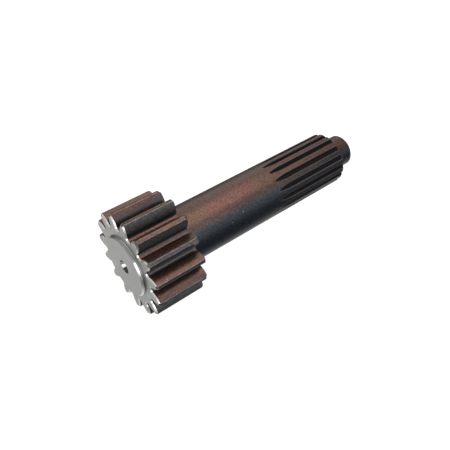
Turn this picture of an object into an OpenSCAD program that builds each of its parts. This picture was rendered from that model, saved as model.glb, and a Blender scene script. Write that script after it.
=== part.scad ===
// Sun gear shaft: a gear, a plain shank, an involute spline and a pilot, turned and cut from one bar.
// It lies as it comes to rest, on two gear teeth and two spline teeth. Millimetres, +Z up.
// The origin is the centre of the boss face, and the shaft runs from there towards +X.

/* [Sun gear] */
// Number of gear teeth
gear_teeth = 15; // [13:1:21]
// Module of the gear teeth
gear_module = 4; // [3.75:0.25:5]
// Profile shift of the gear teeth, in modules
gear_shift = 0.2; // [0.1:0.05:0.5]
// Pressure angle of the gear teeth, in degrees
gear_angle = 20; // [18:0.5:22.5]
// Width of the gear across its teeth
gear_width = 35; // [20:1:60]
// Chamfer on both ends of the tooth tips
tip_chamfer = 1.2; // [0.4:0.1:2]

/* [Thrust boss] */
// Height of the raised boss in front of the gear
boss_h = 2; // [1.8:0.1:6]
// Flat ring between the boss and the tooth roots
boss_margin = 5.3; // [3:0.1:9]
// Chamfer round the boss face
boss_chamfer = 1.1; // [0.3:0.1:1.2]
// Fillet at the foot of the boss
boss_fillet = 0.4; // [0.2:0.1:0.5]

/* [Shank] */
// Length from the back of the gear to the end of the spline
shank_l = 138; // [100:1:220]
// Fillet between the gear and the shank
gear_fillet = 3; // [1:0.25:4]

/* [Spline] */
// Number of spline teeth
spline_teeth = 17; // [15:1:19]
// Module of the spline teeth
spline_module = 2; // [1.75:0.05:2.2]
// Profile shift of the spline teeth, in modules
spline_shift = 1; // [0.8:0.05:1.2]
// Pressure angle of the spline teeth, in degrees
spline_angle = 20; // [18:0.5:25]
// Length of the spline at its full depth
spline_l = 51; // [20:1:80]
// Radius of the disc cutter that leaves the run-outs
cutter_r = 30; // [20:1:40]
// Chamfer on the end of the spline teeth
spline_chamfer = 1.8; // [0.5:0.1:2.2]

/* [Pilot] */
// Diameter of the pilot
pilot_d = 23; // [18:0.5:30]
// Length of the pilot
pilot_l = 16; // [12:0.5:30]
// Chamfer on the end of the pilot
pilot_chamfer = 1.6; // [0.5:0.1:2.5]
// Fillet at the foot of the pilot
pilot_fillet = 1; // [0.5:0.1:1.5]

/* [Centre holes] */
// Diameter of the mouth of each centre hole
centre_mouth_d = 9; // [6:0.5:11]
// Diameter of the drilled part of each centre hole
centre_drill_d = 4; // [2:0.5:5]
// Depth of the drilled part of each centre hole
centre_depth = 10; // [9:0.5:16]
// Angle across the cone of each centre hole
centre_angle = 60; // [60:5:90]

/* [Hidden] */
$fn = 96;

// A cut starts this far outside the surface that it opens
cut_over = 0.5;
// Root depth of the gear teeth and tip radius of their hob, in modules
root_depth = 1.25;
hob_tip = 0.38;
// Tip and root of the spline teeth beyond the shifted pitch circle, in modules
spline_tip = -0.1;
spline_root = 1.2;
// Angle across the point that a drill leaves
drill_point = 118;
// Straight steps along each involute, each root fillet and each turned fillet
involute_steps = 8;
root_steps = 5;
spline_steps = 4;
fillet_steps = 6;

// Radii of the gear
gear_pitch_r = gear_module * gear_teeth / 2;
gear_base_r = gear_pitch_r * cos(gear_angle);
gear_tip_r = gear_pitch_r + gear_module * (1 + gear_shift);
gear_root_r = gear_pitch_r - gear_module * (root_depth - gear_shift);

// Radii of the spline. The shank is turned to the tip of the spline teeth.
spline_pitch_r = spline_module * spline_teeth / 2;
spline_base_r = spline_pitch_r * cos(spline_angle);
shank_r = spline_pitch_r + spline_module * (spline_shift + spline_tip);
spline_root_r = spline_pitch_r + spline_module * (spline_shift - spline_root);
spline_depth = shank_r - spline_root_r;

boss_r = gear_root_r - boss_margin;
pilot_r = pilot_d / 2;

// Places along the axis, from the boss face
gear_front = boss_h;
gear_back = gear_front + gear_width;
shoulder = gear_back + shank_l;
shaft_end = shoulder + pilot_l;
spline_start = shoulder - spline_l;

// Half the angle of a tooth or a space, in degrees, on the circle of radius r
function involute(a) = tan(a) * 180 / PI - a;
function roll(r, base_r) = involute(acos(base_r / max(r, base_r)));
function pitch_half_angle(m, shift, angle, pitch_r) =
    (PI / 4 + shift * tan(angle)) * m / pitch_r * 180 / PI;
function gear_tooth_half(r) =
    pitch_half_angle(gear_module, gear_shift, gear_angle, gear_pitch_r)
    + involute(gear_angle) - roll(r, gear_base_r);
function gear_space_half(r) = 180 / gear_teeth - gear_tooth_half(r);
function spline_space_half(r) =
    180 / spline_teeth - pitch_half_angle(spline_module, spline_shift, spline_angle, spline_pitch_r)
    - involute(spline_angle) + roll(r, spline_base_r);

// The angle at which the shaft lies: two gear tips and two spline teeth touch the ground together
gear_rest = gear_tip_r * cos(180 / gear_teeth - gear_tooth_half(gear_tip_r));
spline_rest = shank_r * cos(spline_space_half(shank_r));
rest_run = (shoulder - spline_chamfer) - (gear_back - tip_chamfer);
rest_tilt = atan((gear_rest - spline_rest) / rest_run);

// Points of a cross-section: x across the space or groove, y away from the axis
function polar(r, a) = [r * sin(a), r * cos(a)];
function mirrored(points) = [for (i = [len(points) - 1:-1:0]) [-points[i][0], points[i][1]]];
function arc(centre, r, from, to) = [
    for (i = [0:fillet_steps]) let (a = from + (to - from) * i / fillet_steps)
        centre + r * [cos(a), sin(a)]
];

// Root fillet of a gear space, the path that the rounded corner of a rolling hob sweeps
hob_r = hob_tip * gear_module;
hob_y = gear_pitch_r - gear_root_r - hob_r;
hob_x = gear_module * PI / 4 - (root_depth - hob_tip) * gear_module * tan(gear_angle) - hob_r / cos(gear_angle);
function hob_point(travel) =
    let (reach = 1 + hob_r / norm([travel, hob_y]), x = travel * reach, y = gear_pitch_r - hob_y * reach)
    polar(norm([x, y]), atan(x / y) - (travel - hob_x) / gear_pitch_r * 180 / PI);
root_curve = [for (i = [0:root_steps]) hob_point(hob_y / tan(gear_angle) * i / root_steps)];
involute_r = norm(root_curve[root_steps]);

// Flanks run on past the surface that they open, and then straight up, so that each cut comes out clean
function opened(flank, r) = concat(flank, [[flank[len(flank) - 1][0], r + cut_over]]);
gear_flank = [
    for (i = [1:involute_steps]) let (r = involute_r + (gear_tip_r + cut_over - involute_r) * i / involute_steps)
        polar(r, gear_space_half(r))
];
spline_flank = [
    for (i = [0:spline_steps]) let (r = spline_root_r + (spline_depth + cut_over) * i / spline_steps)
        polar(r, spline_space_half(r))
];

module symmetric(points) {
    polygon(concat(points, mirrored(points)));
}

// Half of the turned outline: x away from the axis, y along it from the boss face
module turned_outline() {
    cone_l = (centre_mouth_d - centre_drill_d) / 2 / tan(centre_angle / 2);
    point_l = centre_drill_d / 2 / tan(drill_point / 2);
    front_hole = [
        [0, centre_depth + point_l],
        [centre_drill_d / 2, centre_depth],
        [centre_drill_d / 2, cone_l],
        [centre_mouth_d / 2, 0]
    ];
    rear_hole = [for (i = [3:-1:0]) [front_hole[i][0], shaft_end - front_hole[i][1]]];
    boss = concat(
        [[boss_r - boss_chamfer, 0], [boss_r, boss_chamfer]],
        arc([boss_r + boss_fillet, gear_front - boss_fillet], boss_fillet, 180, 90)
    );
    gear = [
        [gear_tip_r - tip_chamfer, gear_front],
        [gear_tip_r, gear_front + tip_chamfer],
        [gear_tip_r, gear_back - tip_chamfer],
        [gear_tip_r - tip_chamfer, gear_back]
    ];
    shank = concat(
        arc([shank_r + gear_fillet, gear_back + gear_fillet], gear_fillet, 270, 180),
        [[shank_r, shoulder - spline_chamfer], [shank_r - spline_chamfer, shoulder]]
    );
    pilot = concat(
        arc([pilot_r + pilot_fillet, shoulder + pilot_fillet], pilot_fillet, 270, 180),
        [[pilot_r, shaft_end - pilot_chamfer], [pilot_r - pilot_chamfer, shaft_end]]
    );
    polygon(concat(front_hole, boss, gear, shank, pilot, rear_hole));
}

// Stands a cross-section on the axis and runs it along the shaft
module along_shaft(from, to) {
    translate([from, 0, 0]) rotate([90, 0, 90]) linear_extrude(to - from) children();
}

// One space between two gear teeth, upright
module gear_space() {
    along_shaft(gear_front - cut_over, gear_back + cut_over)
        symmetric(opened(concat(root_curve, gear_flank), gear_tip_r));
}

// One spline groove, upright: straight out through the end, and round the disc cutter at its start.
// The turned run-out starts on the same plane and the same outline as the straight part.
module spline_groove() {
    groove = opened(spline_flank, shank_r);
    cutter_y = groove[0][1] + cutter_r;
    cutter_turn = acos((cutter_r - spline_depth - 2 * cut_over) / cutter_r);
    along_shaft(spline_start, shoulder + cut_over) symmetric(groove);
    translate([spline_start, 0, cutter_y]) rotate([90, 90, 0])
        rotate_extrude(angle = -cutter_turn)
            translate([cutter_y, 0]) rotate(90)
                symmetric(groove);
}

// Copies spaced round the axis, with the first at the bottom
module round_shaft(count) {
    for (i = [0:count - 1]) rotate([180 + i * 360 / count, 0, 0]) children();
}

module sun_gear_shaft() {
    color([0.33, 0.27, 0.25]) rotate([0, rest_tilt, 0]) difference() {
        rotate([0, 90, 0]) rotate_extrude() turned_outline();
        round_shaft(gear_teeth) gear_space();
        round_shaft(spline_teeth) spline_groove();
    }
}

sun_gear_shaft();
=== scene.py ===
# %% [markdown]
# # Sun gear shaft
# The part is one bar of steel: a gear with a raised boss at one end, a plain shank, a spline and a pilot at
# the other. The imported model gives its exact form, so no shape is modelled anew here. This lesson takes a
# copy of it, breaks the edges, gives it four finishes, and lights it.

# %% Load the frame
import math

import bmesh
import bpy
from mathutils import Matrix, Vector


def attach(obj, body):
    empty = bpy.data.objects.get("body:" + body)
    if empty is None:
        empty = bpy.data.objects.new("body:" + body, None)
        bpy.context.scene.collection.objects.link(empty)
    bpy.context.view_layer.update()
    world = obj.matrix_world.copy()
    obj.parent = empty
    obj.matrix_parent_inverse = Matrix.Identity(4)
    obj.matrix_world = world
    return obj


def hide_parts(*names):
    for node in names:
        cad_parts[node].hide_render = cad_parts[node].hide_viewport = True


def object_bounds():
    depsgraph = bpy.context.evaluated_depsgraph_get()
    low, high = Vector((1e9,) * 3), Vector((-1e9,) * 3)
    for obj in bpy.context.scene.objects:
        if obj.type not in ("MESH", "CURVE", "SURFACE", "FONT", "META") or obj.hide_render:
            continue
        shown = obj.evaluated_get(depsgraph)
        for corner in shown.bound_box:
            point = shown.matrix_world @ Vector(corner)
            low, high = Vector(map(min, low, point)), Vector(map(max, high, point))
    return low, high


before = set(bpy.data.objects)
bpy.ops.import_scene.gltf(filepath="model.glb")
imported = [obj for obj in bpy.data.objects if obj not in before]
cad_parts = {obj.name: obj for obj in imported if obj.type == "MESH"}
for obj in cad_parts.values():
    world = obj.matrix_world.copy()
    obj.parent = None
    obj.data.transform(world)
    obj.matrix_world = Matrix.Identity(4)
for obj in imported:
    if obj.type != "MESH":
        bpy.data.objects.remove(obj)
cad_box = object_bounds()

MM = 0.001

# %% [markdown]
# ## The shaft's own axis
# The shaft lies as it comes to rest, so its axis dips from the gear towards the spline. The object could be
# turned until its axis is level, but then it would leave its place. So it stays, and all that lies along or
# round the shaft is measured in a frame that is tilted with it: X along the axis, Z up from it.

# %% The tilted frame
REST_TILT = math.radians(6.463)
TO_SHAFT = Matrix.Rotation(-REST_TILT, 3, "Y")
FROM_SHAFT = TO_SHAFT.inverted()
ALONG = FROM_SHAFT @ Vector((1, 0, 0))


def on_shaft(point):
    """Distance along the shaft and distance from its axis, of a point in the model."""
    p = TO_SHAFT @ Vector(point)
    return p.x, math.hypot(p.y, p.z)


print("shaft direction", [round(c, 4) for c in ALONG])

# %% [markdown]
# ## The camera
# The photo looks down on the shaft from the gear end, with the camera turned a little on its side. A camera
# can be placed by a matrix of twelve numbers. A place, a direction and a roll say the same, and can be read.

# %% Place the camera
PHOTO_WIDTH = 450
FOCAL_PIXELS = 548.2
SENSOR = 36.0
CAMERA_PLACE = Vector((-63.1, -197.9, 264.6)) * MM
CAMERA_FORWARD = Vector((0.37284, 0.52801, -0.76302))
CAMERA_ROLL = math.radians(4.94)

camera_data = bpy.data.cameras.new("photo_camera")
camera_data.sensor_fit = "HORIZONTAL"
camera_data.sensor_width = SENSOR
camera_data.lens = FOCAL_PIXELS / PHOTO_WIDTH * SENSOR
camera_data.clip_start = 10 * MM
camera = bpy.data.objects.new("photo_camera", camera_data)
bpy.context.scene.collection.objects.link(camera)
level = CAMERA_FORWARD.to_track_quat("-Z", "Y").to_matrix().to_4x4()
camera.matrix_world = Matrix.Translation(CAMERA_PLACE) @ level @ Matrix.Rotation(-CAMERA_ROLL, 4, "Z")
bpy.context.scene.camera = camera
print("lens", round(camera_data.lens, 2), "mm, camera at", [round(c, 3) for c in camera.location])

# %% [markdown]
# ## The visible shaft
# The CAD mesh is loose triangles, which shade with hard seams and bevel badly. The shaft could be modelled
# again, but then its teeth would only be nearly right. So a copy of the mesh is merged. Its end faces are
# then cut by rays through the middle of every tooth and every gap, and all other flat triangles are dissolved
# back to whole faces. What is left is the mesh that a modeller would draw, and a bevel runs cleanly round it.

# %% Copy and merge the mesh
TOUCHING = 0.001 * MM    # points closer than this are one

cad_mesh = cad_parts["sun_gear_shaft"].data
shaft = bpy.data.objects.new("shaft_steel", cad_mesh.copy())
bpy.context.scene.collection.objects.link(shaft)
bpy.ops.object.select_all(action="DESELECT")
shaft.select_set(True)
bpy.context.view_layer.objects.active = shaft
if shaft.data.has_custom_normals:
    bpy.ops.mesh.customdata_custom_splitnormals_clear()
bpy.ops.object.mode_set(mode="EDIT")
bpy.ops.mesh.select_all(action="SELECT")
bpy.ops.mesh.remove_doubles(threshold=TOUCHING)
print("copied", len(cad_mesh.vertices), "points in", len(cad_mesh.polygons), "triangles")

# %% Choose edges and faces by where they lie
NEAR = 0.05 * MM         # how far a point may be off the place that it is looked for at
SQUARE = 0.999           # how nearly an end face points along the shaft


def choose(kind, test):
    """In edit mode, select only the edges or faces that pass a test, and count them."""
    bpy.ops.mesh.select_mode(type=kind)
    bpy.ops.mesh.select_all(action="DESELECT")
    mesh = bpy.context.object.data
    form = bmesh.from_edit_mesh(mesh)
    chosen = [part for part in (form.edges if kind == "EDGE" else form.faces) if test(part)]
    for part in chosen:
        part.select_set(True)
    bmesh.update_edit_mesh(mesh)
    return len(chosen)


def is_end_face(face, low, high):
    """A face square to the shaft, between two distances along it."""
    return abs(face.normal.dot(ALONG)) > SQUARE and low < on_shaft(face.calc_center_median())[0] < high


square_faces = choose("FACE", lambda face: is_end_face(face, -math.inf, math.inf))
print("triangles square to the shaft:", square_faces)

# %% Cut the end faces by rays, and dissolve the rest
GEAR_TEETH = 15
SPLINE_TEETH = 17
GEAR_FRONT = 2.0 * MM
GEAR_BACK = 37.0 * MM
SHAFT_END = 191.0 * MM
FLAT = math.radians(0.5)


def cut_by_rays(count, low, high):
    """Cut the end faces between two distances by planes through the axis, and mark the cuts as seams."""
    for i in range(count):
        choose("FACE", lambda face: is_end_face(face, low, high))
        turn = math.pi * i / count
        normal = FROM_SHAFT @ Vector((0, math.cos(turn), math.sin(turn)))
        bpy.ops.mesh.bisect(plane_co=(0, 0, 0), plane_no=normal, threshold=TOUCHING)
        bpy.ops.mesh.mark_seam()


cut_by_rays(GEAR_TEETH, -NEAR, GEAR_BACK + NEAR)
cut_by_rays(SPLINE_TEETH, GEAR_BACK + NEAR, SHAFT_END + NEAR)
bpy.ops.mesh.select_all(action="SELECT")
bpy.ops.mesh.dissolve_limited(angle_limit=FLAT, delimit={"SEAM"})
bpy.ops.mesh.mark_seam(clear=True)
bpy.ops.object.mode_set(mode="OBJECT")
print("merged mesh:", len(shaft.data.vertices), "points,", len(shaft.data.polygons), "faces")

# %% [markdown]
# ## Finishes as slots
# The shaft shows four finishes: the dark oiled steel all over, the ground steel of the front face and the
# boss, the bright steel where an edge was broken last, which also paints a highlight on one side of the
# centre hole and of the boss chamfer, and the corners where handling has worn the oxide thin. One material
# could tell them apart by place, but their borders would blur. Each is a material slot of its own. The slots
# come first, because a bevel can then hand its new faces to one.

# %% One empty material for each finish
DARK, GROUND, EDGE_AND_HIGHLIGHT, WORN = range(4)

shaft.data.materials.clear()
for name in ("dark_oiled_steel", "ground_steel", "broken_edge_and_highlight", "worn_corner"):
    finish = bpy.data.materials.new(name)
    finish.use_nodes = True
    shaft.data.materials.append(finish)
dark_steel, ground_steel, broken_edge_and_highlight, worn_corner = shaft.data.materials
print("finishes:", [finish.name for finish in shaft.data.materials])

# %% [markdown]
# ## Which face has which finish
# The front of the gear and the boss are ground. One side of the front centre hole, and one side of the
# chamfer round the boss, get bright steel as a painted highlight, chosen by which way their faces point. The
# sloping front ends of the tooth tips are worn. Faces could be picked by number, but a number says nothing. A
# test of place and slope can be read.

# %% The ground faces
CENTRE_MOUTH_R = 4.5 * MM


def is_ground(face):
    """The front face of the gear and all of the boss, but not the centre hole."""
    s, r = on_shaft(face.calc_center_median())
    return s < GEAR_FRONT + NEAR and r > CENTRE_MOUTH_R


def give_slot(slot, test):
    """In edit mode, give a slot the faces that pass a test."""
    print("slot", slot, "takes", choose("FACE", test), "faces")
    shaft.active_material_index = slot
    bpy.ops.object.material_slot_assign()


bpy.ops.object.mode_set(mode="EDIT")
give_slot(GROUND, is_ground)

# %% The painted highlight on one side of the centre hole
CONE_DEPTH = 4.3 * MM
HIGHLIGHT_SIDE = Vector((0, 0.883, -0.469))
CONE_HIGHLIGHT = -0.765     # a face of the painted highlight points back across the hole by at least this


def is_cone_highlight(face):
    """The side of the front centre hole that gets bright steel as a painted highlight."""
    s, r = on_shaft(face.calc_center_median())
    return NEAR < s < CONE_DEPTH and r < CENTRE_MOUTH_R and face.normal.dot(HIGHLIGHT_SIDE) < CONE_HIGHLIGHT


# One side of the centre hole gets bright steel as a painted highlight
give_slot(EDGE_AND_HIGHLIGHT, is_cone_highlight)

# %% The painted highlight on one side of the boss chamfer
BOSS_CHAMFER = 1.1 * MM
SLOPE_LOW, SLOPE_HIGH = 0.3, 0.95    # how far a sloping face points along the shaft
CHAMFER_HIGHLIGHT = -0.45   # a face of the painted highlight points to the near side by at least this


def slopes_forward(face):
    """A face that slopes towards the gear end, neither square to the shaft nor along it."""
    return SLOPE_LOW < -face.normal.dot(ALONG) < SLOPE_HIGH


def is_chamfer_highlight(face):
    """The chamfer round the boss, on the side that gets bright steel as a painted highlight."""
    s, r = on_shaft(face.calc_center_median())
    return slopes_forward(face) and s < BOSS_CHAMFER and r > CENTRE_MOUTH_R and face.normal.y < CHAMFER_HIGHLIGHT


# The near side of the boss chamfer gets bright steel as a painted highlight
give_slot(EDGE_AND_HIGHLIGHT, is_chamfer_highlight)

# %% The worn tips of the teeth
GEAR_TIP_R = 34.8 * MM
TIP_CHAMFER = 1.2 * MM


def is_tip_chamfer(face):
    """The sloping front end of a tooth tip."""
    s, r = on_shaft(face.calc_center_median())
    return slopes_forward(face) and s < GEAR_BACK / 2 and r > GEAR_TIP_R - TIP_CHAMFER


give_slot(WORN, is_tip_chamfer)

# %% [markdown]
# ## The ends of the teeth
# Where the ground front face meets the tooth flanks, a deburring wheel has left a bright chamfer almost a
# millimetre wide. It is the lightest thing on the part. The same edges at the back were only broken lightly.
# A Bevel modifier would need a weight on each edge. The bevel operator takes just the chosen edges, and gives
# the new faces their slot.

# %% Chamfer the tooth profile at both ends of the gear
FRONT_CHAMFER = 0.8 * MM
BACK_CHAMFER = 0.4 * MM
END_ON = 0.99            # an end face points along the shaft by at least this
SIDE_ON = 0.02           # and a flank by no more than this


def is_tooth_end(edge, place, facing):
    """An edge between an end face of the gear and a flank, which runs along the shaft."""
    if len(edge.link_faces) != 2 or any(abs(on_shaft(v.co)[0] - place) > NEAR for v in edge.verts):
        return False
    slopes = sorted(face.normal.dot(ALONG) * facing for face in edge.link_faces)
    return abs(slopes[0]) < SIDE_ON and slopes[1] > END_ON


def chamfer(width, segments, slot):
    """Bevel the chosen edges, and give the new faces a slot."""
    bpy.ops.mesh.bevel(offset_type="OFFSET", offset=width, segments=segments, affect="EDGES",
                       clamp_overlap=False, material=slot)


print("front tooth edges:", choose("EDGE", lambda edge: is_tooth_end(edge, GEAR_FRONT, -1)))
chamfer(FRONT_CHAMFER, 1, EDGE_AND_HIGHLIGHT)
print("back tooth edges:", choose("EDGE", lambda edge: is_tooth_end(edge, GEAR_BACK, 1)))
chamfer(BACK_CHAMFER, 1, DARK)

# %% [markdown]
# ## Rounded corners
# No machined edge is a knife edge. The tips of the gear teeth, the lands of the spline and the mouths of the
# centre holes get a small round, which catches the light as a thin line. A Bevel node could fake it in the
# shader, but a real round also shows in the outline. The turned chamfers are blunt enough as they are.

# %% Round the sharp edges
EDGE_ROUND = 0.2 * MM
SHARP = math.radians(50)


def is_sharp(edge):
    """An outer corner that would cut a finger."""
    return len(edge.link_faces) == 2 and edge.is_convex and edge.calc_face_angle() > SHARP


print("sharp edges:", choose("EDGE", is_sharp))
chamfer(EDGE_ROUND, 2, WORN)
bpy.ops.mesh.select_all(action="SELECT")
bpy.ops.mesh.remove_doubles(threshold=TOUCHING)
bpy.ops.object.mode_set(mode="OBJECT")

# %% [markdown]
# ## Smooth shading
# The shank is round, but its mesh has flat sides. More of them would hide that, at the cost of a heavy mesh.
# Smooth normals do it for nothing. Faces that meet at more than a few degrees keep a hard seam, big faces
# count for more than slivers, and the shank and the pilot get the exact normals of a cylinder, so that no
# flat shows in the gloss.

# %% Shade it smooth except at real edges
SMOOTH_ANGLE = math.radians(20)

bpy.ops.object.shade_smooth_by_angle(angle=SMOOTH_ANGLE)
weigh = shaft.modifiers.new("weigh_normals", "WEIGHTED_NORMAL")
weigh.mode = "FACE_AREA"
weigh.keep_sharp = True
bpy.ops.object.modifier_apply(modifier=weigh.name)
print("hard edges:", sum(edge.use_edge_sharp for edge in shaft.data.edges))

# %% Give the round faces the normals of a cylinder
SHANK_R = 18.8 * MM
PILOT_R = 11.5 * MM


def outward(point):
    """The direction straight away from the axis."""
    p = TO_SHAFT @ point
    return (FROM_SHAFT @ Vector((0, p.y, p.z))).normalized()


mesh = shaft.data
normals = [corner.vector.copy() for corner in mesh.corner_normals]
round_faces = 0
for face in mesh.polygons:
    reaches = [on_shaft(mesh.vertices[i].co)[1] for i in face.vertices]
    if any(max(abs(reach - r) for reach in reaches) < NEAR for r in (SHANK_R, PILOT_R)):
        round_faces += 1
        for i in face.loop_indices:
            normals[i] = outward(mesh.vertices[mesh.loops[i].vertex_index].co)
mesh.normals_split_custom_set(normals)
print("faces with the normals of a cylinder:", round_faces)

# %% Put it in the place of the CAD solid
check = bmesh.new()
check.from_mesh(shaft.data)
print("finished mesh:", len(check.verts), "points,", len(check.faces), "faces,",
      sum(not edge.is_manifold for edge in check.edges), "open edges")
check.free()
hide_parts("sun_gear_shaft")
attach(shaft, "root")

# %% [markdown]
# ## Shader helpers
# A material is a small program of nodes. Written out, each node takes three or four lines. A few helpers keep
# it short: one adds a node with its inputs set or plugged, and the others do a sum, a stretch or a mix.

# %% Add nodes


def add(tree, kind, inputs=None, **settings):
    """Add a node, set its fields, and set or plug its inputs."""
    node = tree.nodes.new(kind)
    for name, value in settings.items():
        setattr(node, name, value)
    for key, value in (inputs or {}).items():
        if isinstance(value, bpy.types.NodeSocket):
            tree.links.new(value, node.inputs[key])
        else:
            node.inputs[key].default_value = value
    return node


def spread(tree, value, low, high, to_low=0.0, to_high=1.0):
    """Stretch the part of a value between low and high over a new range."""
    inputs = {"Value": value, "From Min": low, "From Max": high, "To Min": to_low, "To Max": to_high}
    return add(tree, "ShaderNodeMapRange", inputs).outputs["Result"]


def blend(tree, factor, first, second):
    """Mix two colours, of which each is three numbers or a socket."""
    a, b = (c if isinstance(c, bpy.types.NodeSocket) else (*c, 1) for c in (first, second))
    return add(tree, "ShaderNodeMix", {0: factor, 6: a, 7: b}, data_type="RGBA").outputs[2]


# %% Do sums


def sum_of(tree, operation, first, *others):
    """Arithmetic on numbers or sockets, from left to right."""
    for other in others:
        first = add(tree, "ShaderNodeMath", {0: first, 1: other}, operation=operation).outputs[0]
    return first


def times(tree, *values):
    """Multiply values. On masks it means: where all of them are."""
    return sum_of(tree, "MULTIPLY", *values)


def largest(tree, *values):
    """The largest value. On masks it means: where any of them is."""
    return sum_of(tree, "MAXIMUM", *values)


def rest_of(tree, mask):
    """Where a mask isn't."""
    return sum_of(tree, "SUBTRACT", 1.0, mask)


def per(tree, length):
    """How many times a length goes into a millimetre, as the scale of a pattern."""
    return sum_of(tree, "DIVIDE", 1.0, length)


# %% Make and place node groups
NUMBER, VECTOR = "NodeSocketFloat", "NodeSocketVector"


def new_group(name, inputs, outputs):
    """A node group with named inputs, each with its starting value, and named outputs."""
    group = bpy.data.node_groups.new(name, "ShaderNodeTree")
    for socket, start in inputs.items():
        made = group.interface.new_socket(name=socket, in_out="INPUT",
                                          socket_type=VECTOR if start is None else NUMBER)
        if start is not None:
            made.default_value = start
    for socket, kind in outputs.items():
        group.interface.new_socket(name=socket, in_out="OUTPUT", socket_type=kind)
    print("pattern", name, "takes", list(inputs), "and gives", list(outputs))
    return group, add(group, "NodeGroupInput").outputs, add(group, "NodeGroupOutput").inputs


def use_group(tree, group, inputs=None):
    """Place a node group, and set or plug its inputs."""
    return add(tree, "ShaderNodeGroup", inputs, node_tree=group).outputs


# %% [markdown]
# ## Place on the shaft
# All finishes share a few patterns. Lathe marks run round the shaft and not across the room, so a pattern has
# to know where on the shaft it is. A UV map would have to be unwrapped. Object coordinates, turned by the
# tilt, give the same without one. In all these patterns, lengths are in millimetres.

# %% Place on the shaft
METRES_TO_MM = (1000, 1000, 1000)

shaft_place, _, place_out = new_group("shaft_place", {}, {"Point": VECTOR, "Along": NUMBER, "Radius": NUMBER})
coordinates = add(shaft_place, "ShaderNodeTexCoord").outputs["Object"]
turned = add(shaft_place, "ShaderNodeMapping",
             {"Vector": coordinates, "Rotation": (0, -REST_TILT, 0), "Scale": METRES_TO_MM}).outputs[0]
split = add(shaft_place, "ShaderNodeSeparateXYZ", {0: turned}).outputs
across = add(shaft_place, "ShaderNodeCombineXYZ", {"Y": split["Y"], "Z": split["Z"]}).outputs[0]
radius = add(shaft_place, "ShaderNodeVectorMath", {0: across}, operation="LENGTH").outputs["Value"]
shaft_place.links.new(turned, place_out["Point"])
shaft_place.links.new(split["X"], place_out["Along"])
shaft_place.links.new(radius, place_out["Radius"])

# %% [markdown]
# ## Fine grain
# Hardened steel is never one even tone: scale and blasting leave a grain of under a millimetre. A photo of
# steel could be laid on, but it would repeat. A noise of that size doesn't.

# %% Fine grain
NOISE_LOW, NOISE_HIGH = 0.3, 0.7       # nearly all of a noise lies between these

fine_grain, grain_in, grain_out = new_group("fine_grain", {"Point": None, "Size": 0.8}, {"Grain": NUMBER})
cloud = add(fine_grain, "ShaderNodeTexNoise",
            {"Vector": grain_in["Point"], "Scale": per(fine_grain, grain_in["Size"]),
             "Detail": 3.0, "Roughness": 0.7}).outputs["Fac"]
fine_grain.links.new(spread(fine_grain, cloud, NOISE_LOW, NOISE_HIGH), grain_out["Grain"])

# %% [markdown]
# ## Sparse nicks
# Handling leaves small bare nicks here and there, and rust leaves pits. Both are scattered spots of uneven
# size. Cells of a Voronoi texture give one spot each, and a draw in each cell keeps only a share of them.

# %% Sparse nicks
SMALLEST_NICK = 0.4      # of the full width

nicks, nicks_in, nicks_out = new_group(
    "nicks", {"Point": None, "Spacing": 8.0, "Width": 0.4, "Share": 0.3}, {"Mask": NUMBER})
cells = add(nicks, "ShaderNodeTexVoronoi",
            {"Vector": nicks_in["Point"], "Scale": per(nicks, nicks_in["Spacing"])}).outputs
draw = add(nicks, "ShaderNodeSeparateColor", {0: cells["Color"]}).outputs
full_width = sum_of(nicks, "DIVIDE", nicks_in["Width"], nicks_in["Spacing"])
width = times(nicks, full_width, spread(nicks, draw["Green"], 0.0, 1.0, SMALLEST_NICK, 1.0))
inside = sum_of(nicks, "LESS_THAN", cells["Distance"], width)
picked = sum_of(nicks, "LESS_THAN", draw["Red"], nicks_in["Share"])
nicks.links.new(times(nicks, inside, picked), nicks_out["Mask"])

# %% [markdown]
# ## Lathe marks
# A turning tool leaves one fine ridge for each turn of the shaft. They could be modelled, but they are
# microns high. A sine of the distance travelled, with a pitch that wanders a little, gives the same light
# through the bump. On an end face the tool travels outwards, so the radius is added to the distance along.

# %% Lathe marks
ONE_TURN = 2 * math.pi
WANDER = 0.9             # changes of the pitch in a millimetre

lathe_marks, marks_in, marks_out = new_group(
    "lathe_marks", {"Along": 0.0, "Radius": 0.0, "Pitch": 0.6, "Unevenness": 1.0}, {"Height": NUMBER})
travel = sum_of(lathe_marks, "ADD", marks_in["Along"], marks_in["Radius"])
wander = add(lathe_marks, "ShaderNodeTexNoise", {"W": travel, "Scale": WANDER, "Detail": 2.0},
             noise_dimensions="1D").outputs["Fac"]
turns = sum_of(lathe_marks, "ADD", sum_of(lathe_marks, "DIVIDE", travel, marks_in["Pitch"]),
               times(lathe_marks, wander, marks_in["Unevenness"]))
angle = times(lathe_marks, turns, ONE_TURN)
wave = add(lathe_marks, "ShaderNodeMath", {0: angle}, operation="SINE").outputs[0]
ridges = spread(lathe_marks, wave, -1.0, 1.0)
lathe_marks.links.new(times(lathe_marks, ridges, wander), marks_out["Height"])

# %% [markdown]
# ## Heat colours and stains
# Steel cools unevenly when it is tempered, and its colour drifts in clouds of a few centimetres. Hand-painted
# clouds would need a UV map. A soft, slightly swirled noise gives them in any size, and stains as well.

# %% Heat colours and stains
CLOUD_LOW, CLOUD_HIGH = 0.38, 0.62     # a narrower part of the noise gives firmer clouds

heat_colours, heat_in, heat_out = new_group("heat_colours", {"Point": None, "Size": 30.0}, {"Mask": NUMBER})
clouds = add(heat_colours, "ShaderNodeTexNoise",
             {"Vector": heat_in["Point"], "Scale": per(heat_colours, heat_in["Size"]),
              "Detail": 4.0, "Roughness": 0.55, "Distortion": 0.4}).outputs["Fac"]
heat_colours.links.new(spread(heat_colours, clouds, CLOUD_LOW, CLOUD_HIGH), heat_out["Mask"])
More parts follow.
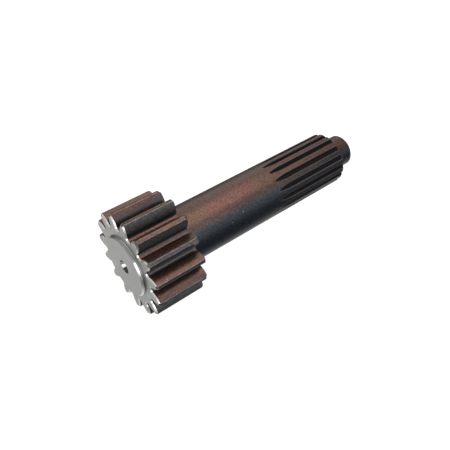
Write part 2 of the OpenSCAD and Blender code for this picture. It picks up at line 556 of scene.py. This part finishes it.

# %% [markdown]
# ## Painted shade between the teeth
# Shade is painted near black on the fillets at the foot of the gear teeth and in the grooves of the spline.
# Ambient occlusion would find such places, but slowly and with noise. On a turned part they lie at known
# radii, so the mask is read off the radius and the distance along.

# %% Painted shade between the teeth
FOOT_LOW, FOOT_HIGH = 26.2, 27.2       # the painted shade sets in above the root of the gear teeth
FLANK_LOW, FLANK_HIGH = 28.0, 30.2     # and thins out up their flanks
DEEPEST_FOOT_SHADE = 0.95
GEAR_END = 37.1
GROOVE_LOW, GROOVE_HIGH = 18.45, 18.7  # it fills a groove of the spline almost to its land
SPLINE_START, SPLINE_END = 100.0, 174.9

painted_hollow_shade, hollow_shade_in, hollow_shade_out = new_group("painted_hollow_shade", {"Along": 0.0, "Radius": 0.0}, {"Mask": NUMBER})
gear_foot = times(painted_hollow_shade, spread(painted_hollow_shade, hollow_shade_in["Radius"], FOOT_LOW, FOOT_HIGH),
                  spread(painted_hollow_shade, hollow_shade_in["Radius"], FLANK_LOW, FLANK_HIGH, DEEPEST_FOOT_SHADE, 0.0),
                  sum_of(painted_hollow_shade, "LESS_THAN", hollow_shade_in["Along"], GEAR_END))
groove = times(painted_hollow_shade, spread(painted_hollow_shade, hollow_shade_in["Radius"], GROOVE_LOW, GROOVE_HIGH, 1.0, 0.0),
               sum_of(painted_hollow_shade, "GREATER_THAN", hollow_shade_in["Along"], SPLINE_START),
               sum_of(painted_hollow_shade, "LESS_THAN", hollow_shade_in["Along"], SPLINE_END))
painted_hollow_shade.links.new(largest(painted_hollow_shade, gear_foot, groove), hollow_shade_out["Mask"])

# %% [markdown]
# ## Dark oiled steel: painted top light and shade
# The shaft was hardened and tempered, which leaves a thin brown-black oxide, and then oiled. Faces that turn
# up or to the far side are painted brown as top light, and those below that line blue-black as shade. A
# gradient along one direction of the room could paint this. The slope of each face does it better, because it
# follows every tooth. The clouds of heat colour shift the line a little. Every finish starts with its place
# on the shaft and its grain, so a helper makes those first.

# %% Start a finish


def start_finish(finish, grain_size):
    """The node tree of a finish, the inputs of its shader, its place on the shaft and its grain."""
    tree = finish.node_tree
    place = use_group(tree, shaft_place)
    grain = use_group(tree, fine_grain, {"Point": place["Point"], "Size": grain_size})["Grain"]
    print("finish", finish.name, "has a grain of", grain_size, "mm")
    return tree, tree.nodes["Principled BSDF"].inputs, place, grain


def clouds_of(tree, place, size):
    """The clouds of heat colour or stain, at one size."""
    return use_group(tree, heat_colours, {"Point": place["Point"], "Size": size})["Mask"]


tree, steel, place, grain = start_finish(dark_steel, grain_size=0.9)
heat = clouds_of(tree, place, size=34.0)

# %% Painted top light and shade
UP = FROM_SHAFT @ Vector((0, 0, 1))
FAR_LOW, FAR_HIGH = 0.6, 0.95          # how far a face points to the far side
FAR_SHARE = 0.8          # and what that counts beside facing up
UNEVEN = 0.04            # how much the clouds shift the line
SHADE_SLOPE, LIGHT_SLOPE = 0.66, 0.90      # a face that turns less this way gets the painted shade, and one that turns more the painted top light
HOLE_R = 4.4             # inside this, which is the centre hole, the painted top light is left out

facing = add(tree, "ShaderNodeNewGeometry").outputs["Normal"]
upward = add(tree, "ShaderNodeVectorMath", {0: facing, 1: UP}, operation="DOT_PRODUCT").outputs["Value"]
backward = spread(tree, add(tree, "ShaderNodeSeparateXYZ", {0: facing}).outputs["Y"],
                  FAR_LOW, FAR_HIGH, 0.0, FAR_SHARE)
facing_the_light = sum_of(tree, "ADD", upward, backward, spread(tree, heat, 0.0, 1.0, -UNEVEN, UNEVEN))
in_hole = sum_of(tree, "LESS_THAN", place["Radius"], HOLE_R)
# Brown painted top light where a face turns up or to the far side, blue-black painted shade elsewhere
painted_top_light = spread(tree, sum_of(tree, "SUBTRACT", facing_the_light, in_hole), SHADE_SLOPE, LIGHT_SLOPE)
print("up, seen from the shaft, is", [round(c, 4) for c in UP])

# %% [markdown]
# ## Dark oiled steel: its colours
# Where top light is painted, the oxide is brown, and drifts to olive in clouds and on the tips of the teeth.
# Where shade is painted, it is blue-black, and dark grey on the teeth as the hob left them and in the centre
# hole. A colour ramp could hold all of them in a row. But they differ by place and not along one scale, so
# each place mixes in its own.

# %% The colour of the oxide
LIT_BROWN = (0.053, 0.0295, 0.026)
OLIVE = (0.042, 0.0315, 0.0235)
SHADED_BLUE_BLACK = (0.004, 0.006, 0.0085)
HOBBED = (0.021, 0.019, 0.020)
TEETH_R, LAND_R = 21.0, 34.5           # the teeth lie outside one radius, and their tips outside the other
OLIVE_FROM = 0.3         # the clouds turn olive from this level up
OLIVE_CLOUDS, OLIVE_TIPS = 0.8, 0.7    # how olive the clouds and the tooth tips get

on_teeth = times(tree, sum_of(tree, "GREATER_THAN", place["Radius"], TEETH_R),
                 sum_of(tree, "LESS_THAN", place["Along"], GEAR_END))
on_tips = sum_of(tree, "GREATER_THAN", place["Radius"], LAND_R)
greener = largest(tree, spread(tree, heat, OLIVE_FROM, 1.0, 0.0, OLIVE_CLOUDS),
                  times(tree, on_tips, OLIVE_TIPS))
# Brown is the painted top light and blue-black the painted shade
shaded_colour = blend(tree, largest(tree, on_teeth, in_hole), SHADED_BLUE_BLACK, HOBBED)
oxide = blend(tree, painted_top_light, shaded_colour, blend(tree, greener, LIT_BROWN, OLIVE))
print("dark steel nodes so far:", len(tree.nodes))

# %% [markdown]
# ## Dark oiled steel: its marks
# Over the oxide lie the uneven grain, a near-black painted shade at the foot of the gear teeth and in the
# grooves of the spline, small dark pits and a few bare nicks, and the whole darkens a little towards the
# spline. Each is one more step of the same chain, from the steel outwards, so that each can be tuned on its
# own.

# %% Grain, painted shade, pits and nicks
HOLLOW_SHADE_COLOUR = (0.005, 0.005, 0.005)
NICKED = (0.11, 0.10, 0.09)
GRAIN_LOW, GRAIN_HIGH = 0.1, 0.9       # the part of the grain that shows
DARK_GRAIN, LIGHT_GRAIN = 0.55, 1.5    # and how dark and light it makes the oxide
DARKENS_FROM, DARKENS_TO = 70.0, 185.0   # from the shank to the pilot
DARKENED = 0.66
HOLLOW_SHADE_SHARE = 0.95        # how much of the steel the painted shade hides


def spots_of(tree, place, spacing, width, share):
    """The scattered spots, at one spacing and width, in a share of their cells."""
    inputs = {"Point": place["Point"], "Spacing": spacing, "Width": width, "Share": share}
    return use_group(tree, nicks, inputs)["Mask"]


darkening = spread(tree, place["Along"], DARKENS_FROM, DARKENS_TO, 1.0, DARKENED)
value = times(tree, spread(tree, grain, GRAIN_LOW, GRAIN_HIGH, DARK_GRAIN, LIGHT_GRAIN), darkening)
grainy = add(tree, "ShaderNodeHueSaturation", {"Color": oxide, "Value": value}).outputs[0]
# The foot of the gear teeth and the spline grooves are painted near black as shade
hollow_shade = use_group(tree, painted_hollow_shade, {"Along": place["Along"], "Radius": place["Radius"]})["Mask"]
outside_hollow_shade = rest_of(tree, times(tree, hollow_shade, HOLLOW_SHADE_SHARE))
pits = spots_of(tree, place, spacing=4.2, width=0.6, share=0.14)
nicked = spots_of(tree, place, spacing=5.0, width=0.42, share=0.16)
pitted_and_hollow_shaded = blend(tree, times(tree, outside_hollow_shade, rest_of(tree, pits)), HOLLOW_SHADE_COLOUR, grainy)
tree.links.new(blend(tree, nicked, pitted_and_hollow_shaded, NICKED), steel["Base Color"])
print("dark steel nodes so far:", len(tree.nodes))

# %% [markdown]
# ## Dark oiled steel: its gloss
# Where top light is painted, the oxide shines like metal. Where shade is painted, an oil film hides that and
# shines as oil does, over a nearly black body. Two shaders could be mixed, but one does both: Metallic
# follows the painted top light, and Coat is the oil film, thin and thick with the grain. The painted shade in
# the hollows takes both away. The lathe marks and the grain go into the bump.

# %% Gloss, oil film and relief
BODY_GLOSS = 0.045
SMOOTH_GRAIN, ROUGH_GRAIN, HOLLOW_ROUGHNESS = 0.30, 0.44, 0.8
SHADED_METAL, LIT_METAL = 0.08, 0.82      # how much the steel shines as metal where shade is painted, and where top light is painted
SHADED_OIL, LIT_OIL = 1.0, 0.15           # how much oil film there is where shade is painted, and where top light is painted
THIN_OIL, THICK_OIL = 0.04, 0.30       # the film on the dark and on the light grain
OIL_ROUGHNESS = 0.37
MARKS_SHARE = 0.35       # the height of the lathe marks beside that of the grain


def marks_of(tree, place, pitch):
    """The height of the lathe marks, at one pitch."""
    inputs = {"Along": place["Along"], "Radius": place["Radius"], "Pitch": pitch}
    return use_group(tree, lathe_marks, inputs)["Height"]


rough = largest(tree, spread(tree, grain, 0.0, 1.0, SMOOTH_GRAIN, ROUGH_GRAIN),
                times(tree, hollow_shade, HOLLOW_ROUGHNESS))
tree.links.new(rough, steel["Roughness"])
# Metal and oil film follow the painted top light and shade
metal = times(tree, spread(tree, painted_top_light, 0.0, 1.0, SHADED_METAL, LIT_METAL), outside_hollow_shade)
tree.links.new(metal, steel["Metallic"])
film_share = times(tree, spread(tree, painted_top_light, 0.0, 1.0, SHADED_OIL, LIT_OIL), outside_hollow_shade)
oil = times(tree, spread(tree, grain, GRAIN_LOW, GRAIN_HIGH, THIN_OIL, THICK_OIL), film_share)
tree.links.new(oil, steel["Coat Weight"])
steel["Specular IOR Level"].default_value = BODY_GLOSS
steel["Coat Roughness"].default_value = OIL_ROUGHNESS
height = sum_of(tree, "ADD", times(tree, marks_of(tree, place, pitch=0.65), MARKS_SHARE), grain)
relief = add(tree, "ShaderNodeBump", {"Height": height, "Strength": 0.45, "Distance": 0.05 * MM}).outputs[0]
tree.links.new(relief, steel["Normal"])
print("dark steel has", len(tree.nodes), "nodes")

# %% [markdown]
# ## Ground steel
# The front of the gear and the boss were ground after the heat treatment, so they are bare, grey and satin,
# with fine rings round the middle and a few faint stains and pits. Anisotropic gloss would give the rings a
# bow-tie glint that the photo doesn't show. Plain metal with the lathe marks in its bump comes closer.

# %% Ground steel
BARE = (0.205, 0.215, 0.21)
STAINED = (0.18, 0.188, 0.172)
PIT = (0.05, 0.045, 0.04)
GROUND_DARK, GROUND_LIGHT = 0.92, 1.08
GROUND_SMOOTH, GROUND_ROUGH = 0.28, 0.40
GRAIN_SHARE = 0.5        # the height of the grain beside that of the lathe marks

tree, steel, place, grain = start_finish(ground_steel, grain_size=0.7)
stained = blend(tree, clouds_of(tree, place, size=12.0), BARE, STAINED)
value = spread(tree, grain, 0.0, 1.0, GROUND_DARK, GROUND_LIGHT)
grainy = add(tree, "ShaderNodeHueSaturation", {"Color": stained, "Value": value}).outputs[0]
pits = spots_of(tree, place, spacing=5.0, width=0.6, share=0.12)
tree.links.new(blend(tree, pits, grainy, PIT), steel["Base Color"])
tree.links.new(spread(tree, grain, 0.0, 1.0, GROUND_SMOOTH, GROUND_ROUGH), steel["Roughness"])
steel["Metallic"].default_value = 1.0
height = sum_of(tree, "ADD", marks_of(tree, place, pitch=0.5), times(tree, grain, GRAIN_SHARE))
relief = add(tree, "ShaderNodeBump", {"Height": height, "Strength": 0.25, "Distance": 0.04 * MM}).outputs[0]
tree.links.new(relief, steel["Normal"])
print("ground steel has", len(tree.nodes), "nodes")

# %% [markdown]
# ## Broken edges and painted highlights
# The chamfers at the front of the teeth are the youngest surfaces on the part. They are clean bright metal,
# which has only dulled a little in patches. The same bright metal is painted as a highlight on one side of
# the boss chamfer and of the centre hole. Light paint would look the same from one side. Metal also lets the
# glint move as the view does.

# %% Broken edges and painted highlights
FRESH = (0.50, 0.50, 0.48)
DULLED = (0.36, 0.36, 0.34)
DULL_LOW, DULL_HIGH = 0.3, 1.1         # the part of the grain that is dulled, and it is never quite so

tree, steel, place, grain = start_finish(broken_edge_and_highlight, grain_size=1.2)
dull = spread(tree, grain, DULL_LOW, DULL_HIGH)
tree.links.new(blend(tree, dull, FRESH, DULLED), steel["Base Color"])
steel["Metallic"].default_value = 1.0
steel["Roughness"].default_value = 0.3
print("broken edge has", len(tree.nodes), "nodes")

# %% [markdown]
# ## Worn corners
# On the tips of the gear teeth, handling has rubbed the oxide thin. The spline has been touched far less.
# Wear could be painted where a mesh is curved, but the rounds are faces of their own here, so only the grain
# and the distance along the shaft decide how much of the oxide is left.

# %% Worn corners
RUBBED = (0.13, 0.115, 0.105)
KEPT = (0.025, 0.020, 0.018)
WORN_TO, KEPT_FROM = 60.0, 90.0        # the wear ends behind the gear
SPLINE_WEAR = 0.1
PATCH_LOW, PATCH_HIGH = 0.35, 0.9      # the part of the grain that is rubbed
WORN_ROUGHNESS, KEPT_ROUGHNESS = 0.4, 0.6

tree, steel, place, grain = start_finish(worn_corner, grain_size=2.0)
handled = spread(tree, place["Along"], WORN_TO, KEPT_FROM, 1.0, SPLINE_WEAR)
rubbed = times(tree, spread(tree, grain, PATCH_LOW, PATCH_HIGH), handled)
tree.links.new(blend(tree, rubbed, KEPT, RUBBED), steel["Base Color"])
rough = spread(tree, place["Along"], WORN_TO, KEPT_FROM, WORN_ROUGHNESS, KEPT_ROUGHNESS)
tree.links.new(rough, steel["Roughness"])
steel["Metallic"].default_value = 0.3
print("worn corner has", len(tree.nodes), "nodes")

# %% [markdown]
# ## The floor
# The floor is a pale sheet. White paint alone would need so much light that the part would be overlit. So the
# paint stays grey, and what the camera and reflections see of it is lifted by a glow of its own to a near
# white, and to full white towards the horizon. The soft shadow of the part stays in it.
#
# Steel this dark shows what it mirrors. In the photo the far side of the shaft and the lower side of the
# shank mirror something darker than the floor, as dark cards beside a product do. Two strips of the floor
# stand for them: one behind the part and one in front. Only reflections see them.

# %% Floor
FLOOR_SIZE = 6.0
FLOOR_GAP = 0.01 * MM    # the floor lies this far under the part
FLOOR_MIDDLE = (0.1, 0, cad_box[0][2] - FLOOR_GAP)

bpy.ops.mesh.primitive_plane_add(size=FLOOR_SIZE, location=FLOOR_MIDDLE)
floor = bpy.context.object
floor.name = "floor"
paper = bpy.data.materials.new("white_paper")
paper.use_nodes = True
floor.data.materials.append(paper)
tree = paper.node_tree
sheet = tree.nodes["Principled BSDF"].inputs
sheet["Roughness"].default_value = 1.0
sheet["Specular IOR Level"].default_value = 0.0
sheet["Emission Color"].default_value = (1, 1, 1, 1)
print("floor at", round(FLOOR_MIDDLE[2], 5), "m")

# %% Darker strips for reflections
CARD_TURN = math.radians(25)
REAR_START, REAR_FULL = 0.045, 0.065   # the strip behind, from the middle of the floor, in metres
FRONT_FULL, FRONT_START = -0.042, -0.024         # the edge of the strip in front that is near the part
FRONT_END, FRONT_FADE = -0.25, -0.12   # and its edge away from the part
CARD_DARKNESS = 0.85

spot = add(tree, "ShaderNodeTexCoord").outputs["Object"]
turned = add(tree, "ShaderNodeMapping", {"Vector": spot, "Rotation": (0, 0, CARD_TURN)}).outputs[0]
behind = add(tree, "ShaderNodeSeparateXYZ", {0: turned}).outputs["Y"]
ahead = add(tree, "ShaderNodeSeparateXYZ", {0: spot}).outputs["Y"]
rear_card = spread(tree, behind, REAR_START, REAR_FULL, 0.0, CARD_DARKNESS)
front_card = times(tree, spread(tree, ahead, FRONT_FULL, FRONT_START, CARD_DARKNESS, 0.0),
                   spread(tree, ahead, FRONT_END, FRONT_FADE))
mirrored = add(tree, "ShaderNodeLightPath").outputs["Is Glossy Ray"]
kept = rest_of(tree, times(tree, mirrored, largest(tree, rear_card, front_card)))
print("the strips are darker in reflections by", CARD_DARKNESS)

# %% Lift the floor to white
FLOOR_PAINT = 0.16
FLOOR_LIFT = 0.92
WHITENS_FROM, WHITENS_TO = 0.5, 1.5    # metres from the middle of the floor


def seen_directly(tree):
    """1 for what is seen, straight, mirrored or through glass, and 0 for what only lights the part."""
    path = add(tree, "ShaderNodeLightPath").outputs
    return largest(tree, path["Is Camera Ray"], path["Is Glossy Ray"], path["Is Transmission Ray"])


away = add(tree, "ShaderNodeVectorMath", {0: turned}, operation="LENGTH").outputs["Value"]
white = spread(tree, away, WHITENS_FROM, WHITENS_TO, FLOOR_LIFT, 1.0)
tree.links.new(times(tree, seen_directly(tree), kept, white), sheet["Emission Strength"])
tree.links.new(times(tree, kept, FLOOR_PAINT), sheet["Base Color"])
print("floor paint", FLOOR_PAINT, "lifted by", FLOOR_LIFT)

# %% [markdown]
# ## The lamps
# The photo was lit by large soft boxes: a warm one overhead, which lights the brown top, and a cool one at
# the side, which gives the wet steel its navy. Sunlight or small lamps would leave hard glints, and dark
# steel shows every one. The boxes on the left aren't mirrored towards the photo's camera. They are there so
# that the part looks right from the other sides as well.

# %% Soft boxes
SHANK_MIDDLE = (0.09, 0.0, 0.0)


def area_lamp(name, place, target, size, power, colour):
    """A soft box, with its size in metres and its power in watts, turned from its place to face a point."""
    data = bpy.data.lights.new(name, "AREA")
    data.shape = "RECTANGLE"
    data.size, data.size_y = size
    data.energy = power
    data.color = colour
    lamp = bpy.data.objects.new(name, data)
    bpy.context.scene.collection.objects.link(lamp)
    lamp.location = place
    lamp.rotation_euler = (Vector(target) - Vector(place)).to_track_quat("-Z", "Y").to_euler()
    print("lamp", name, "of", power, "W")


area_lamp("overhead_box", (0.622, 0.03, 1.026), SHANK_MIDDLE, (1.05, 0.65), 14.0, (1.0, 0.76, 0.74))
area_lamp("rear_box", (0.68, 0.84, 0.52), SHANK_MIDDLE, (0.8, 0.8), 3.2, (1.0, 0.95, 0.95))
area_lamp("side_box", (0.53, -0.92, 0.42), (0.05, 0.0, 0.0), (0.8, 0.65), 8.6, (0.8, 0.915, 1.0))
area_lamp("front_box", (0.41, -0.72, 0.72), (0.02, 0.0, 0.0), (0.4, 0.4), 2.6, (1.0, 0.8, 0.74))

# %% Soft boxes for the other sides
area_lamp("overhead_left", (-0.44, 0.03, 1.0), SHANK_MIDDLE, (0.9, 0.4), 5.0, (1.0, 0.8, 0.78))
area_lamp("far_left", (-0.3, 0.65, 0.85), SHANK_MIDDLE, (0.8, 0.5), 4.0, (1.0, 0.95, 0.92))
area_lamp("left_card", (-0.92, -0.38, 0.15), (0.0, 0.0, 0.0), (0.5, 0.36), 2.3, (1.0, 1.0, 1.0))
area_lamp("near_left", (-0.4, -0.92, 0.36), SHANK_MIDDLE, (0.8, 0.5), 5.0, (0.85, 0.93, 1.0))

# %% [markdown]
# ## The world
# Round the part is a room that lights it faintly from all sides. The camera and reflections should see plain
# white instead, as in the photo. A white world would flood the part with light, so the world is white only
# for what is seen, and dim and a little green for what it lights.

# %% World
ROOM = (0.95, 1.0, 0.92)
ROOM_LEVEL = 0.28

world = bpy.data.worlds.new("studio")
bpy.context.scene.world = world
world.use_nodes = True
tree = world.node_tree
background = tree.nodes["Background"].inputs
seen = seen_directly(tree)
tree.links.new(blend(tree, seen, ROOM, (1, 1, 1)), background["Color"])
tree.links.new(spread(tree, seen, 0.0, 1.0, ROOM_LEVEL, 1.0), background["Strength"])
bpy.context.scene.view_settings.view_transform = "Standard"
print("room level", ROOM_LEVEL)
